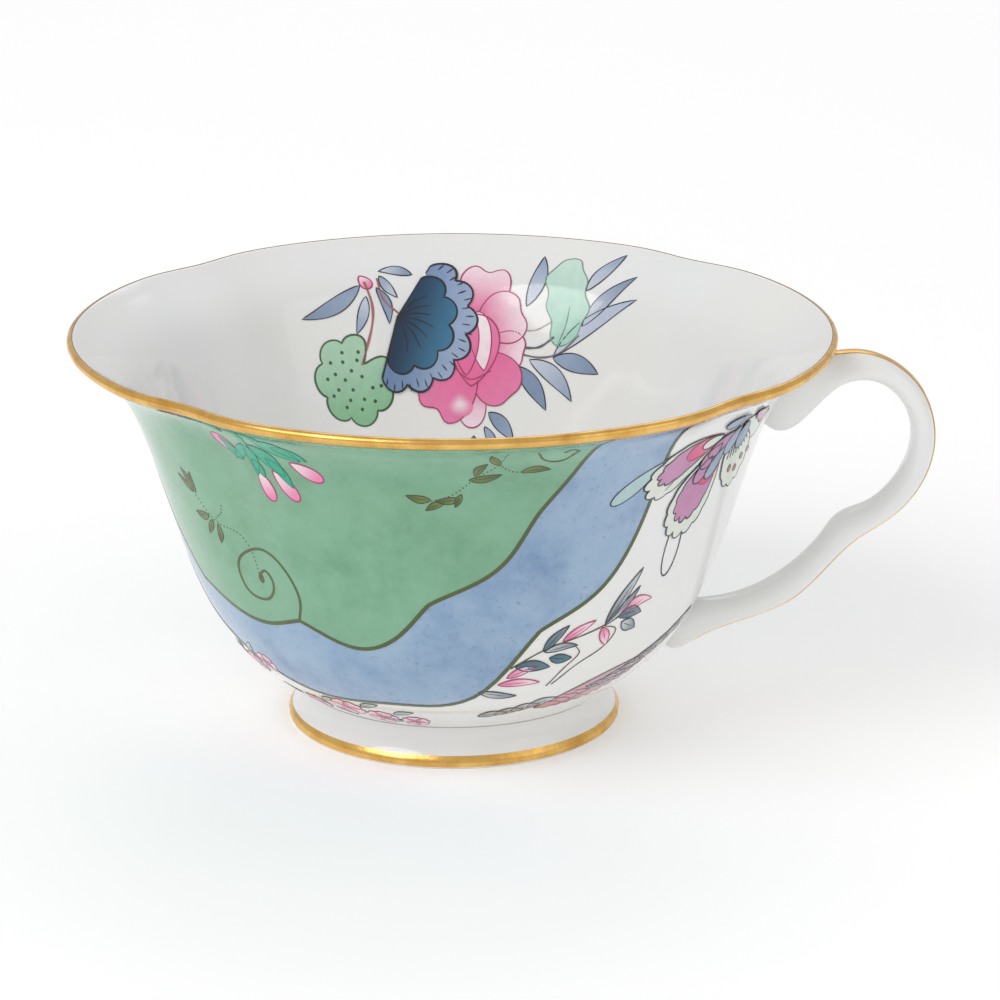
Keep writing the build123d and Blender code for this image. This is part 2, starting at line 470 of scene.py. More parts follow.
def lay_ring(piece, ring, points):
    form = bmesh.from_edit_mesh(piece.data)
    form.verts.ensure_lookup_table()
    for i, point in zip(ring, points):
        form.verts[i].co = point
    bmesh.update_edit_mesh(piece.data)


def choose(piece, ring):
    """Select only these vertices, and the edges between them."""
    bpy.ops.mesh.select_all(action="DESELECT")
    form = bmesh.from_edit_mesh(piece.data)
    form.verts.ensure_lookup_table()
    for i in ring:
        form.verts[i].select = True
    form.select_flush(True)
    bmesh.update_edit_mesh(piece.data)


def set_in_place(piece, slot, material, *nodes):
    """Give a finished piece its material and its body, and hide the CAD nodes that it stands for."""
    piece.data.materials.clear()
    piece.data.materials.append(material)
    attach(piece, "root")
    if nodes:
        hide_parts(*nodes)
    return piece


def patch(shape, lay, across, along, paint=None):
    """A grid from 0 to 1 both ways, drawn flat, then laid in place, with its paint as an attribute."""
    bpy.ops.mesh.primitive_grid_add(x_subdivisions=across, y_subdivisions=along, size=1)
    piece = bpy.context.object
    mesh = piece.data
    co = np.empty(len(mesh.vertices) * 3)
    mesh.vertices.foreach_get("co", co)
    u, v = co[0::3] + 0.5, co[1::3] + 0.5
    drawn = shape(u, v)
    points, flat = lay(drawn)
    mesh.vertices.foreach_set("co", points.ravel())
    if area_of(mesh, flat) < 0:
        mesh.flip_normals()
    if paint is not None:
        coat(mesh, paint(v, drawn))
    return piece


def coat(mesh, tones):
    """Write enamel colours to a mesh, one for each of its points or one for all."""
    layer = mesh.color_attributes.new("enamel", "FLOAT_COLOR", "POINT")
    full = np.ones((len(mesh.vertices), 4))
    full[:, :3] = tones
    layer.data.foreach_set("color", full.ravel())


def area_of(mesh, flat):
    """Signed area of a patch as drawn flat."""
    total = 0.0
    for face in mesh.polygons:
        x, y = flat[face.vertices[:], 0], flat[face.vertices[:], 1]
        total += np.dot(x, np.roll(y, -1)) - np.dot(y, np.roll(x, -1))
    return total


def gather(name, patches, thickness=FILM):
    """Join patches into one closed film with its outer side where they lie."""
    clear_selection()
    for piece in patches:
        piece.select_set(True)
    bpy.context.view_layer.objects.active = patches[0]
    bpy.ops.object.join()
    piece = bpy.context.object
    piece.name = piece.data.name = name
    bpy.ops.object.mode_set(mode="EDIT")
    bpy.ops.mesh.select_all(action="SELECT")
    bpy.ops.mesh.remove_doubles(threshold=0.0015 * MM)
    bpy.ops.object.mode_set(mode="OBJECT")
    solid = piece.modifiers.new("film", "SOLIDIFY")
    solid.thickness = thickness * MM
    solid.offset = -1
    bpy.ops.object.modifier_apply(modifier=solid.name)
    bpy.ops.object.shade_smooth_by_angle(angle=math.radians(50))
    return piece


# ---------------------------------------------------------------- outlines for the painter


def turned(points, x, y, angle, size=1.0):
    """An outline turned by degrees, scaled and moved."""
    a = math.radians(angle)
    across, up = (np.asarray(points, float) * size).T
    return np.c_[
        x + across * math.cos(a) - up * math.sin(a),
        y + across * math.sin(a) + up * math.cos(a),
    ]


def leaf(length, width, bend=0.0, count=18):
    """Pointed leaf from the origin along +X, bowed by a share of its length."""
    t = np.linspace(0, 1, count)
    rib = np.c_[t * length, 4 * bend * length * t * (1 - t)]
    half = width / 2 * np.sin(np.pi * t**0.85) ** 0.9
    return np.r_[rib + np.c_[0 * t, half], (rib - np.c_[0 * t, half])[::-1][1:-1]]


def petal(length, width, notch=0.0, count=34):
    """Rounded petal from the origin along +X, with an optional notch in its tip."""
    a = np.linspace(0, 2 * np.pi, count, endpoint=False)
    x = length / 2 * (1 - np.cos(a)) - notch * length * np.exp(-(((a - np.pi) / 0.34) ** 2))
    y = width / 2 * np.sin(a) * np.abs(np.sin(a / 2)) ** 0.55 * 1.12
    return np.c_[x, y]


def fan(radius, spread, lobes, depth=0.14, count=72, waist=0.0):
    """Shell-shaped fan from the origin, opening about +X, with a scalloped edge."""
    t = np.linspace(0, 1, count)
    a = math.radians(spread) * (t - 0.5)
    r = radius * (1 - depth + depth * np.abs(np.sin(np.pi * lobes * t)) ** 0.7)
    r *= 1 - waist * np.abs(2 * t - 1) ** 3
    return np.r_[[(0, 0)], np.c_[r * np.cos(a), r * np.sin(a)]]


def frilled(length, width, lobes, depth=0.12, count=110):
    """Wing-shaped petal along +X whose outer half has a frilled edge."""
    a = np.linspace(0, 2 * np.pi, count, endpoint=False)
    x, y = length / 2 * (1 - np.cos(a)), width / 2 * np.sin(a) * np.abs(np.sin(a / 2)) ** 0.7 * 1.1
    outer = np.clip((1 - np.cos(a)) / 2 - 0.25, 0, 1) / 0.75
    frill = 1 - depth * outer * (1 - np.abs(np.sin(lobes * a)) ** 0.6)
    middle = length * 0.45
    return np.c_[middle + (x - middle) * frill, y * frill]


def disc(radius, count=9):
    a = np.linspace(0, 2 * np.pi, count, endpoint=False)
    return np.c_[radius * np.cos(a), radius * np.sin(a)]


def bowed(points, count=24):
    """Smooth open line through a few points."""
    p = np.array(points, float)
    if len(p) < 3:
        return np.c_[np.linspace(p[0, 0], p[-1, 0], count), np.linspace(p[0, 1], p[-1, 1], count)]
    unit = lambda d: d / (np.linalg.norm(d) + 1e-9)
    return spline(p, unit(p[1] - p[0]), unit(p[-1] - p[-2]), count)


def shares(drawn, axis):
    """How far points lie along an axis, from 0 at its start to 1 at its end."""
    start, end = np.array(axis[0], float), np.array(axis[1], float)
    return np.clip((drawn - start) @ (end - start) / np.dot(end - start, end - start), 0, 1)


class Transfer:
    """Enamels drawn flat, in millimetres across and up, and laid on one face of the wall."""

    def __init__(self, name, face, azimuth, height, turn=0.0, size=1.0, bow=0.0):
        self.name = name
        self.face = face
        self.azimuth = math.radians(azimuth)
        self.run = face.run_at(height)
        self.radius = face.radius_at(height)
        self.turn = math.radians(turn)
        self.size = size
        self.bow = bow
        self.patches = []
        self.level = 1

    def lay(self, drawn, lift):
        x, y = drawn[:, 0] * self.size, drawn[:, 1] * self.size
        y = y + self.bow * x**2
        across = x * math.cos(self.turn) - y * math.sin(self.turn)
        up = x * math.sin(self.turn) + y * math.cos(self.turn)
        azimuth = self.azimuth + self.face.turn * across / self.radius
        return self.face.place(azimuth, self.run + up, lift), np.c_[across, up]

    def add(self, shape, across, along, paint=None, above=0):
        lift = FIRST_LAYER + (self.level + above) * LAYER
        self.patches.append(patch(shape, lambda drawn: self.lay(drawn, lift), across, along, paint))

    def area(self, outline, inner, outer=None, axis=None, rows=3, centre=None):
        """Fill an outline. The paint runs from inner to outer along axis, or from the centre to the edge."""
        edge = np.r_[outline, outline[:1]]
        middle = outline.mean(axis=0) if centre is None else np.array(centre, float)
        first = np.array(inner)
        last = first if outer is None else np.array(outer)
        steps = np.linspace(0, 1, len(edge))

        def shape(u, v):
            rim = np.c_[np.interp(u, steps, edge[:, 0]), np.interp(u, steps, edge[:, 1])]
            return middle + v[:, None] * (rim - middle)

        def paint(v, drawn):
            share = v if axis is None else shares(drawn, axis)
            share = (share * share * (3 - 2 * share))[:, None]
            return (1 - share) * first + share * last

        self.add(shape, len(outline), rows, paint)

    def line(self, points, tone, width, closed=False, taper=0.0, wobble=0.18):
        """A brush line along points, thinning to its ends by a share and wavering a little."""
        path = np.r_[points, points[:2]] if closed else np.asarray(points, float)
        side = left_normals(path)
        steps = np.linspace(0, 1, len(path))

        def shape(u, v):
            spot = np.c_[np.interp(u, steps, path[:, 0]), np.interp(u, steps, path[:, 1])]
            out = np.c_[np.interp(u, steps, side[:, 0]), np.interp(u, steps, side[:, 1])]
            half = width / 2 * (1 - taper * (2 * u - 1) ** 2)
            half = half * (1 + wobble * np.sin(17 * u + 5 * path[0, 0]))
            return spot + out * ((2 * v - 1) * half)[:, None]

        self.add(shape, len(path) - 1, 1, lambda v, drawn: tone, above=1)

    def leaf(self, x, y, angle, length, width, inner, outer, ink, bend=0.0, line=0.2, vein=True):
        """A pointed leaf with its outline, its paint running from the stem to the tip."""
        shape = turned(leaf(length, width, bend), x, y, angle)
        tip = turned([(length, 0)], x, y, angle)[0]
        self.area(shape, inner, outer, axis=((x, y), tip))
        self.line(shape, ink, line, closed=True)
        if vein:
            rib = bowed([(0.1 * length, 0.33 * bend * length), (length * 0.7, 0.8 * bend * length)])
            self.line(turned(rib, x, y, angle), ink, line * 0.7, taper=0.9)

    def petal(self, x, y, angle, length, width, inner, outer, ink, line=0.2, notch=0.0, count=34):
        """A rounded petal with its outline, its paint running from its root to its tip."""
        shape = turned(petal(length, width, notch, count), x, y, angle)
        tip = turned([(length, 0)], x, y, angle)[0]
        self.bloom(shape, inner, outer, ink, ((x, y), tip), line)

    def bloom(self, outline, inner, outer, ink, axis, line=0.2, centre=None):
        """Any outline filled and inked, its paint running along an axis."""
        self.area(outline, inner, outer, axis=axis, rows=5, centre=centre)
        self.line(outline, ink, line, closed=True)

    def dots(self, points, tone, radius):
        for x, y in points:
            self.area(turned(disc(radius, 8), x, y, 0), tone, rows=1)

    def finish(self, material, thickness=FILM):
        piece = gather(self.name, self.patches, thickness)
        return set_in_place(piece, "china", material)


class Ground(Transfer):
    """A wide transfer drawn in degrees round the cup and millimetres of height."""

    def __init__(self, name, face, middle, turned_by=0.0, squeeze=1.0):
        super().__init__(name, face, 0, 30)
        self.middle = middle
        self.turned_by = turned_by
        self.squeeze = squeeze

    def lay(self, drawn, lift):
        degrees = self.middle + self.turned_by + (drawn[:, 0] - self.middle) * self.squeeze
        azimuth = np.radians(degrees)
        run = self.face.run_at(drawn[:, 1])
        return self.face.place(azimuth, run, lift), np.c_[azimuth * self.radius, run]

    def between(self, low, high, rows):
        """Fill the strip between two lines that are matched point for point."""
        steps = np.linspace(0, 1, len(low))

        def shape(u, v):
            start = np.c_[np.interp(u, steps, low[:, 0]), np.interp(u, steps, low[:, 1])]
            end = np.c_[np.interp(u, steps, high[:, 0]), np.interp(u, steps, high[:, 1])]
            return start + v[:, None] * (end - start)

        self.add(shape, len(low) - 1, rows)

    def stroke(self, points, tone, width):
        """A line of even width in millimetres along points in degrees and height."""
        degrees, height = points.T
        run, radius = self.face.run_at(height), self.face.radius_at(height)
        side = left_normals(np.c_[np.radians(degrees) * self.squeeze * radius.mean(), run])
        steps = np.linspace(0, 1, len(points))

        def shape(u, v):
            pick = lambda values: np.interp(u, steps, values)
            half = (2 * v - 1) * width / 2
            turn = np.degrees(pick(side[:, 0]) * half / pick(radius)) / self.squeeze
            return np.c_[pick(degrees) + turn, self.face.height_at(pick(run) + pick(side[:, 1]) * half)]

        self.add(shape, len(points) - 1, 2, lambda v, drawn: tone, above=1)


# ---------------------------------------------------------------- making


def wall():
    sizes = bpy.context.scene.teacup_sizes
    outer, inner = wall_lines(sizes.lip / MM)
    return Face(outer, outward=True), Face(inner, outward=False)


def rings_of(profile, count):
    """Lobed rings for a profile of radii and heights, first at azimuth 0."""
    azimuth = np.linspace(0, 2 * math.pi, count, endpoint=False)
    rings = []
    for radius, height in profile:
        r = radius * lobe(azimuth, height)
        rings.append(np.c_[r * np.cos(azimuth), r * np.sin(azimuth), np.full(count, height)] * MM)
    return rings


def thinned(line, count):
    return line[np.linspace(0, len(line) - 1, count).astype(int)]


class ThrowBowl(bpy.types.Operator):
    """Draw the bowl up from its foot, over the lip and down into the hollow"""

    bl_idname = "teacup.bowl"
    bl_label = "Bowl"
    bl_options = {"REGISTER", "UNDO"}

    def execute(self, context):
        sizes = context.scene.teacup_sizes
        colours = context.scene.teacup_colours
        outer, inner = wall_lines(sizes.lip / MM)
        underside = [(0.4, BASE[1]), (8, BASE[1]), (16, BASE[1]), (21.5, BASE[1]), (22.2, BASE[1])]
        angles = np.radians(np.linspace(-40, 118, 11))
        lip = [on_lip(a, sizes.lip / MM / 2 - SET_BACK) for a in angles]
        hollow = thinned(inner, 70)[::-1][:-1]
        profile = [*underside, *thinned(outer, 84), *lip, *hollow, (0.4, FLOOR_HEIGHT)]
        piece = draw_out("bowl_glazed", rings_of(profile, sizes.around))
        set_in_place(piece, "china", finish_of(glazed_china, colours), "bowl")
        return {"FINISHED"}


def foot_line(swell=0.0):
    """Outer side of the foot from its top to the start of its rounded edge."""
    top, low = np.array((BASE[0], BASE[1] + 0.04)), np.array((FOOT_RADIUS, 2 * FOOT_EDGE))
    t = np.linspace(0, 1, 12)[:, None]
    sag = np.array((-0.95, -0.31)) * FOOT_FLARE
    return top + (low - top) * t + 4 * sag * t * (1 - t) + np.array((swell, 0))


def foot_edge(radius, first, last, swell=0.0):
    """Rounded resting edge about a centre at this radius, from one angle to another."""
    a = np.radians(np.linspace(first, last, 8))
    r = FOOT_EDGE + swell
    return np.c_[radius + r * np.cos(a), FOOT_EDGE + r * np.sin(a)]


class TurnFoot(bpy.types.Operator):
    """Turn the flared foot ring with its rounded resting edge"""

    bl_idname = "teacup.foot"
    bl_label = "Foot ring"
    bl_options = {"REGISTER", "UNDO"}

    def execute(self, context):
        sizes = context.scene.teacup_sizes
        colours = context.scene.teacup_colours
        recess, inside = FOOT_RECESS
        edge = foot_edge(FOOT_RADIUS - FOOT_EDGE, 0, -90)
        heel = foot_edge(inside + FOOT_EDGE, -90, -180)
        profile = [*foot_line(), *edge, *heel, (recess + 0.2, 3.2), (recess, BASE[1])]
        piece = draw_out("foot_glazed", rings_of(profile, sizes.around), joined=True)
        set_in_place(piece, "china", finish_of(glazed_china, colours), "foot_ring")
        return {"FINISHED"}


def handle_lines(count=120):
    """Smooth run of the handle's sections: spine, inner side and half width."""
    stations = np.array(HANDLE_STATIONS)
    return spline(stations, (0.8, 0.3, 0.5, -0.2, 0.1), (-0.6, 0.35, -0.3, -0.45, -0.3), count)


def handle_section(row, points, lift=0.0):
    """Points at these angles round a section, the spine at angle 0."""
    sx, sz, ix, iz, half = row
    middle = np.array(((sx + ix) / 2, (sz + iz) / 2))
    depth = np.array((sx - ix, sz - iz)) / 2
    power = 2 / SECTION_SQUARENESS
    c, s = np.cos(points), np.sin(points)
    out = np.abs(c) ** power * np.sign(c) * (1 + lift / np.linalg.norm(depth))
    across = np.abs(s) ** power * np.sign(s) * (half + lift)
    return np.c_[middle[0] + depth[0] * out, across, middle[1] + depth[1] * out] * MM


class PullHandle(bpy.types.Operator):
    """Pull the handle from its upper root to its lower root"""

    bl_idname = "teacup.handle"
    bl_label = "Handle"
    bl_options = {"REGISTER", "UNDO"}

    def execute(self, context):
        colours = context.scene.teacup_colours
        around = np.linspace(0, 2 * math.pi, 48, endpoint=False)
        rows = handle_lines()
        rings = [handle_section(row, around, -SET_BACK) for row in rows]
        ends = [0.02 * rings[k] + 0.98 * rings[k].mean(axis=0) for k in (0, -1)]
        piece = draw_out("handle_glazed", [ends[0], *rings, ends[1]])
        set_in_place(piece, "china", finish_of(glazed_china, colours), "handle")
        return {"FINISHED"}


class GildRim(bpy.types.Operator):
    """Band the rim, the foot and the handle's spine with burnished gold"""

    bl_idname = "teacup.gilding"
    bl_label = "Gilding"
    bl_options = {"REGISTER", "UNDO"}

    def execute(self, context):
        sizes = context.scene.teacup_sizes
        colours = context.scene.teacup_colours
        gold = finish_of(burnished_gold, colours)
        outer = wall()[0]
        band = [self.banded(outer, h) for h in np.linspace(CREST - RIM_GOLD_DROP, 56.5, 5)]
        crest = [on_lip(a, sizes.lip / MM / 2 - 0.015) for a in np.radians(np.linspace(-44, 86, 12))]
        back = [on_lip(a, sizes.lip / MM / 2 - 0.2) for a in np.radians(np.linspace(84, -44, 6))]
        under = [(band[0][0] - 0.2, band[0][1] + 0.1)]
        rim = draw_out("rim_gold", rings_of([*band, *crest, *back, *under], sizes.around), joined=True)
        set_in_place(rim, "gilding", gold, "rim_gilding")
        angles = np.radians((*np.linspace(85, 97, 4), *np.linspace(96, 86, 3)))
        section = [on_lip(a, sizes.lip / MM / 2 - (0.02 if k < 4 else 0.2)) for k, a in enumerate(angles)]
        line = draw_out("rim_line", rings_of(section, sizes.around), joined=True)
        coat(line.data, srgb(96, 66, 34))
        set_in_place(line, "china", finish_of(enamel))

        skin = [p for p in foot_line(0.015) if p[1] < FOOT_GOLD[1]]
        top = [(np.interp(-FOOT_GOLD[1], -foot_line()[:, 1], foot_line()[:, 0]) + 0.015, FOOT_GOLD[1])]
        edge = foot_edge(FOOT_RADIUS - FOOT_EDGE, 0, -28, 0.0)
        core = [(edge[-1][0] - 0.25, edge[-1][1] + 0.1), (top[0][0] - 0.25, FOOT_GOLD[1] - 0.1)]
        foot = draw_out("foot_gold", rings_of([*top, *skin, *edge, *core], sizes.around), joined=True)
        set_in_place(foot, "gilding", gold, "foot_gilding")

        self.gild_spine(sizes, gold)
        return {"FINISHED"}

    def banded(self, face, height):
        run = face.run_at(height)
        skin = face.line + face.normal * (SET_BACK - 0.01)
        return np.interp(run, face.run, skin[:, 0]), np.interp(run, face.run, skin[:, 1])

    def gild_spine(self, sizes, gold):
        rows = handle_lines(240)[10:-16]
        width = sizes.spine_gold / MM / 2

        def shape(u, v):
            return np.c_[v, u]

        def lay(drawn):
            points = np.empty((len(drawn), 3))
            for k, (across, along) in enumerate(drawn):
                row = rows[round(along * (len(rows) - 1))]
                turn = math.asin(width / row[4]) * (2 * across - 1)
                points[k] = handle_section(row, np.array([turn]), -0.02)[0]
            return points, drawn

        clear_selection()
        line = gather("spine_gold", [patch(shape, lay, len(rows) - 1, 8)], 0.1)
        set_in_place(line, "gilding", gold, "handle_gilding")


# Edge of each ground, as degrees round the cup and heights, from under the rim's gold down and up again.
# Each list is one scallop, with a corner at both ends
GROUND_TOP = 56.3
GREEN_EDGE = [
    [(-67, GROUND_TOP), (-70, 50), (-75, 44)],
    [(-75, 44), (-80, 37), (-95, 30)],
    [(-95, 30), (-101, 25), (-110, 22), (-124, 25)],
    [(-124, 25), (-134, 23), (-156, 26)],
    [(-156, 26), (-168, 35), (-175, 43)],
    [(-175, 43), (-182, 49), (-187, GROUND_TOP)],
]
BLUE_EDGE = [
    [(-51, GROUND_TOP), (-52, 43), (-59, 31), (-72, 25)],
    [(-72, 25), (-83, 15), (-105, 12), (-135, 12), (-152, 16)],
    [(-152, 16), (-167, 21), (-175, 28)],
    [(-175, 28), (-190, 37), (-196, GROUND_TOP)],
]
GROUND_MIDDLE = -123

# The back carries a narrower repeat of the front, turned this many degrees round the cup
BACK_TURN = 214.5
BACK_SQUEEZE = 0.8
SIDES = [("front", 0.0, 1.0), ("back", BACK_TURN, BACK_SQUEEZE)]

DOT_GAP = 0.62
PALE_OLIVE = srgb(112, 134, 66)


def edge_line(scallops):
    return np.concatenate([bowed(points, 30) for points in scallops])


class LayGrounds(bpy.types.Operator):
    """Wash the green and blue grounds in their scalloped fields, with an olive line round each"""

    bl_idname = "teacup.grounds"
    bl_label = "Grounds"
    bl_options = {"REGISTER", "UNDO"}

    def execute(self, context):
        sizes = context.scene.teacup_sizes
        colours = context.scene.teacup_colours
        outer = wall()[0]
        dark_green, light_green = srgb(102, 154, 120), srgb(140, 188, 158)
        dark_blue, light_blue = srgb(108, 140, 180), srgb(174, 192, 212)
        green = washed_ground("green_wash", colours.green, dark_green, light_green, 0.14)
        blue = washed_ground("blue_wash", colours.blue, dark_blue, light_blue, 0.5)
        for side, turn, squeeze in SIDES:
            for name, edge, finish, level in (
                ("blue_ground", BLUE_EDGE, blue, 1),
                ("green_ground", GREEN_EDGE, green, 3),
            ):
                clear_selection()
                field = Ground(f"{name}_{side}", outer, GROUND_MIDDLE, turn, squeeze)
                field.level = level
                low = edge_line(edge)
                high = np.c_[low[:, 0], np.full(len(low), GROUND_TOP)]
                field.between(low, high, 64)
                field.finish(finish)
            clear_selection()
            lines = Ground(f"ground_lines_{side}", outer, GROUND_MIDDLE, turn, squeeze)
            lines.level = 4
            for edge in (*GREEN_EDGE, *BLUE_EDGE):
                lines.stroke(bowed(edge, 30), colours.olive, sizes.ground_line / MM)
            lines.finish(finish_of(enamel))
        return {"FINISHED"}


def spots(azimuth, back=None):
    """Where a painted group stands, in degrees round the cup, on the front and on the back."""
    if back is None:
        back = BACK_TURN + GROUND_MIDDLE + (azimuth - GROUND_MIDDLE) * BACK_SQUEEZE
    return [("front", azimuth), ("back", back)]


def dotted(points):
    """Places evenly apart along a smooth line through points."""
    path = bowed(points, 200)
    run = np.r_[0, np.cumsum(np.linalg.norm(np.diff(path, axis=0), axis=1))]
    at = np.arange(0, run[-1], DOT_GAP)
    return np.c_[np.interp(at, run, path[:, 0]), np.interp(at, run, path[:, 1])]


class PaintGreenSprigs(bpy.types.Operator):
    """Paint the buds, leafy sprigs and curls that lie on the green ground"""

    bl_idname = "teacup.green_sprigs"
    bl_label = "Buds, sprigs and curls"
    bl_options = {"REGISTER", "UNDO"}

    def execute(self, context):
        sizes = context.scene.teacup_sizes
        colours = context.scene.teacup_colours
        outer = wall()[0]
        for side, azimuth in spots(-126):
            clear_selection()
            buds = Transfer(f"bud_cluster_{side}", outer, azimuth, 53)
            self.buds(buds, colours).finish(finish_of(enamel))
        for side, azimuth in spots(-86):
            clear_selection()
            sprig = Transfer(f"rim_sprig_{side}", outer, azimuth, 50)
            self.rim_sprig(sprig, colours, sizes).finish(finish_of(enamel))
        for side, azimuth in spots(-142):
            clear_selection()
            sprig = Transfer(f"low_sprig_{side}", outer, azimuth, 38)
            self.low_sprig(sprig, colours, sizes).finish(finish_of(enamel))
        for side, turn, squeeze in SIDES:
            clear_selection()
            curl = Ground(f"snail_curl_{side}", outer, GROUND_MIDDLE, turn, squeeze)
            curl.level = 4
            rise = [(-124, 25), (-122.6, 28), (-124, 32), (-128.5, 35), (-134.5, 34.2), (-138.4, 31)]
            coil = [(-137.6, 28), (-134, 26.9), (-130, 28.2), (-129, 30.4), (-130.6, 31.8), (-132.4, 31)]
            curl.stroke(bowed(rise + coil, 140), colours.olive, 0.42)
            curl.area(turned(disc(0.8, 16), -132.2, 30.4, 0), colours.olive, rows=1)
            curl.finish(finish_of(enamel))
        return {"FINISHED"}

    def buds(self, paint, colours):
        paint.level = 5
        emerald = colours.emerald
        deep, bright = tinted(emerald, 0.6), tinted(emerald, 1.15)
        for x, y, angle, size in (
            (-2.4, -3.2, 140, 5.0),
            (0.7, -5.4, -72, 5.2),
            (3.6, -4.8, -54, 5.8),
            (7.2, -2.6, -30, 5.4),
        ):
            paint.petal(x, y, angle, size, 2.5, colours.blush, colours.pink, colours.rose, 0.24)
        paint.level = 7
        for x, y, angle, size, width in (
            (-0.3, -0.6, 230, 4.6, 1.9),
            (-1.6, -4.0, 133, 5.0, 1.5),
            (0.1, -0.5, -86, 5.8, 1.9),
            (0.2, -3.4, -62, 3.4, 1.5),
            (1.0, -0.3, -48, 7.0, 2.7),
            (3.2, -2.4, -56, 6.0, 1.6),
            (2.6, 1.2, -27, 7.2, 2.7),
            (5.2, 0.4, -24, 5.4, 1.6),
        ):
            paint.leaf(x, y, angle, size, width, emerald, bright, deep, 0.05, 0.16, vein=False)
        paint.line(bowed([(0.4, 4.6), (0.1, 2), (0.4, -0.6)]), emerald, 1.1)
        paint.line(bowed([(1.4, 4.6), (2.2, 3), (3.4, 1)]), emerald, 1.3)
        paint.leaf(-3.0, 1.6, 150, 6.4, 1.7, emerald, colours.mint, deep, -0.08, 0.16, vein=False)
        paint.leaf(-6.6, 3.0, 158, 5.6, 1.8, colours.mauve, colours.blush, colours.rose, -0.06, 0.2)
        return paint

    def rim_sprig(self, paint, colours, sizes):
        paint.level = 5
        olive, pale, dot = colours.olive, PALE_OLIVE, sizes.dot / MM
        for x, y, angle, size, width, bend in (
            (-6.4, -3.6, 168, 3.4, 1.3, 0.08),
            (-4.6, -4.2, 206, 2.8, 1.1, -0.08),
            (-2.4, -3.4, 186, 3.4, 1.2, 0.06),
            (-2.2, -2.6, 250, 2.4, 0.9, 0.0),
            (-1.2, 0.0, 12, 4.4, 1.3, -0.06),
            (-0.4, 0.8, 60, 3.0, 1.2, 0.1),
            (2.8, 3.0, 118, 3.0, 1.1, 0.08),
            (5.6, 1.2, 2, 4.0, 1.3, 0.1),
        ):
            paint.leaf(x, y, angle, size, width, pale, olive, tinted(olive, 0.7), bend, 0.14)
        paint.dots(dotted([(-7.4, -4.2), (-3.6, -2.8), (0, 0.6), (2.6, 3.2), (3.4, 6)]), olive, dot)
        paint.dots(dotted([(2.6, 3.0), (4.6, 1.4), (6, 1.2)]), olive, dot)
        paint.line(bowed([(7.2, 5.9), (8.4, 3.6), (11.0, 3.2), (12.6, 5.2)]), olive, 0.3)
        paint.line(bowed([(12.6, 5.2), (11.6, 6.0), (10.6, 5.2)]), olive, 0.3)
        return paint

    def low_sprig(self, paint, colours, sizes):
        paint.level = 5
        olive, pale, dot = colours.olive, PALE_OLIVE, sizes.dot / MM
        for x, y, angle, size, width, bend in (
            (-3.2, 3.6, 112, 3.6, 1.2, -0.08),
            (-2.6, 3.4, 88, 3.4, 1.1, 0.1),
            (-3.4, 3.4, 140, 3.4, 0.9, 0.0),
            (-1.0, 0.2, 182, 3.2, 1.3, 0.12),
            (-0.4, -0.4, 236, 3.0, 1.0, 0.0),
            (0.6, -0.8, 262, 3.2, 1.1, 0.06),
        ):
            paint.leaf(x, y, angle, size, width, pale, olive, tinted(olive, 0.7), bend, 0.14)
        stem = [(-3.2, 3.4), (-1, 0.6), (1.4, -0.8), (4.2, -1.2), (6.4, -3.6), (7.0, -7.8)]
        paint.dots(dotted(stem), olive, dot)
        paint.dots(dotted([(0.6, 0.2), (2.0, 1.4), (2.4, 2.6)]), olive, dot)
        return paint


